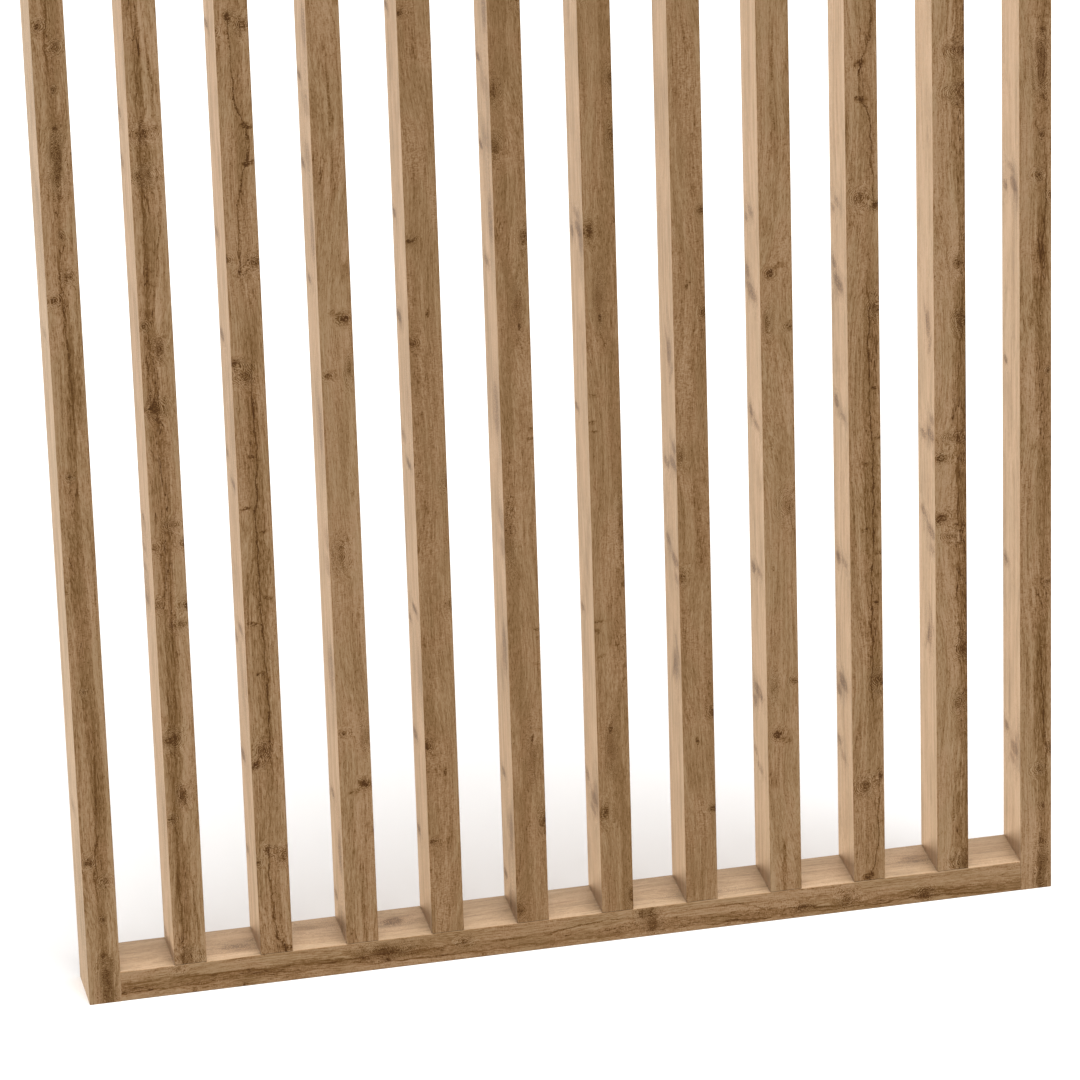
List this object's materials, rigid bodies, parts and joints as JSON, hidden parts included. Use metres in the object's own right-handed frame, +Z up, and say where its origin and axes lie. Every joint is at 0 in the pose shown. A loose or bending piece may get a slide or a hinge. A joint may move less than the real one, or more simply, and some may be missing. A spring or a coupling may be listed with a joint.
{
  "type": "slat room divider",
  "caption": "Floor-to-ceiling room divider of upright oak-effect slats that each turn about their own upright axis on hidden pins between two rails and two posts.",
  "frame": {"origin": "on the floor, under the middle of the bottom rail", "axes": "+X along the divider to the right seen from the front, +Y from the front to the back, +Z up"},
  "size_m": [1.1, 0.072, 2.5],
  "materials": {
    "oak_foil": "rustic oak-effect foil, satin, with long dark heart streaks, cracks and knots",
    "steel": "bright zinc-plated steel",
    "nylon": "natural nylon, satin"
  },
  "bodies": {
    "frame": {"left_post": "oak_foil", "right_post": "oak_foil", "bottom_rail": "oak_foil", "top_rail": "oak_foil", "bottom_left_screw": "steel", "bottom_right_screw": "steel", "top_left_screw": "steel", "top_right_screw": "steel", "bottom_bush_01": "nylon", "bottom_bush_02": "nylon", "bottom_bush_03": "nylon", "bottom_bush_04": "nylon", "bottom_bush_05": "nylon", "bottom_bush_06": "nylon", "bottom_bush_07": "nylon", "bottom_bush_08": "nylon", "bottom_bush_09": "nylon", "bottom_bush_10": "nylon", "top_bush_01": "nylon", "top_bush_02": "nylon", "top_bush_03": "nylon", "top_bush_04": "nylon", "top_bush_05": "nylon", "top_bush_06": "nylon", "top_bush_07": "nylon", "top_bush_08": "nylon", "top_bush_09": "nylon", "top_bush_10": "nylon"},
    "turning_slat_01": {"slat_01": "oak_foil", "bottom_pin_01": "steel", "top_pin_01": "steel"},
    "turning_slat_02": {"slat_02": "oak_foil", "bottom_pin_02": "steel", "top_pin_02": "steel"},
    "turning_slat_03": {"slat_03": "oak_foil", "bottom_pin_03": "steel", "top_pin_03": "steel"},
    "turning_slat_04": {"slat_04": "oak_foil", "bottom_pin_04": "steel", "top_pin_04": "steel"},
    "turning_slat_05": {"slat_05": "oak_foil", "bottom_pin_05": "steel", "top_pin_05": "steel"},
    "turning_slat_06": {"slat_06": "oak_foil", "bottom_pin_06": "steel", "top_pin_06": "steel"},
    "turning_slat_07": {"slat_07": "oak_foil", "bottom_pin_07": "steel", "top_pin_07": "steel"},
    "turning_slat_08": {"slat_08": "oak_foil", "bottom_pin_08": "steel", "top_pin_08": "steel"},
    "turning_slat_09": {"slat_09": "oak_foil", "bottom_pin_09": "steel", "top_pin_09": "steel"},
    "turning_slat_10": {"slat_10": "oak_foil", "bottom_pin_10": "steel", "top_pin_10": "steel"}
  },
  "joints": [
    {"name": "slat_01_turn", "type": "hinge", "parent": "frame", "child": "turning_slat_01", "pos_m": [-0.43527, 0, 0.0366], "axis": [0, 0, 1], "continuous": true},
    {"name": "slat_02_turn", "type": "hinge", "parent": "frame", "child": "turning_slat_02", "pos_m": [-0.33854, 0, 0.0366], "axis": [0, 0, 1], "continuous": true},
    {"name": "slat_03_turn", "type": "hinge", "parent": "frame", "child": "turning_slat_03", "pos_m": [-0.24182, 0, 0.0366], "axis": [0, 0, 1], "continuous": true},
    {"name": "slat_04_turn", "type": "hinge", "parent": "frame", "child": "turning_slat_04", "pos_m": [-0.14509, 0, 0.0366], "axis": [0, 0, 1], "continuous": true},
    {"name": "slat_05_turn", "type": "hinge", "parent": "frame", "child": "turning_slat_05", "pos_m": [-0.04836, 0, 0.0366], "axis": [0, 0, 1], "continuous": true},
    {"name": "slat_06_turn", "type": "hinge", "parent": "frame", "child": "turning_slat_06", "pos_m": [0.04836, 0, 0.0366], "axis": [0, 0, 1], "continuous": true},
    {"name": "slat_07_turn", "type": "hinge", "parent": "frame", "child": "turning_slat_07", "pos_m": [0.14509, 0, 0.0366], "axis": [0, 0, 1], "continuous": true},
    {"name": "slat_08_turn", "type": "hinge", "parent": "frame", "child": "turning_slat_08", "pos_m": [0.24182, 0, 0.0366], "axis": [0, 0, 1], "continuous": true},
    {"name": "slat_09_turn", "type": "hinge", "parent": "frame", "child": "turning_slat_09", "pos_m": [0.33854, 0, 0.0366], "axis": [0, 0, 1], "continuous": true},
    {"name": "slat_10_turn", "type": "hinge", "parent": "frame", "child": "turning_slat_10", "pos_m": [0.43527, 0, 0.0366], "axis": [0, 0, 1], "continuous": true}
  ]
}
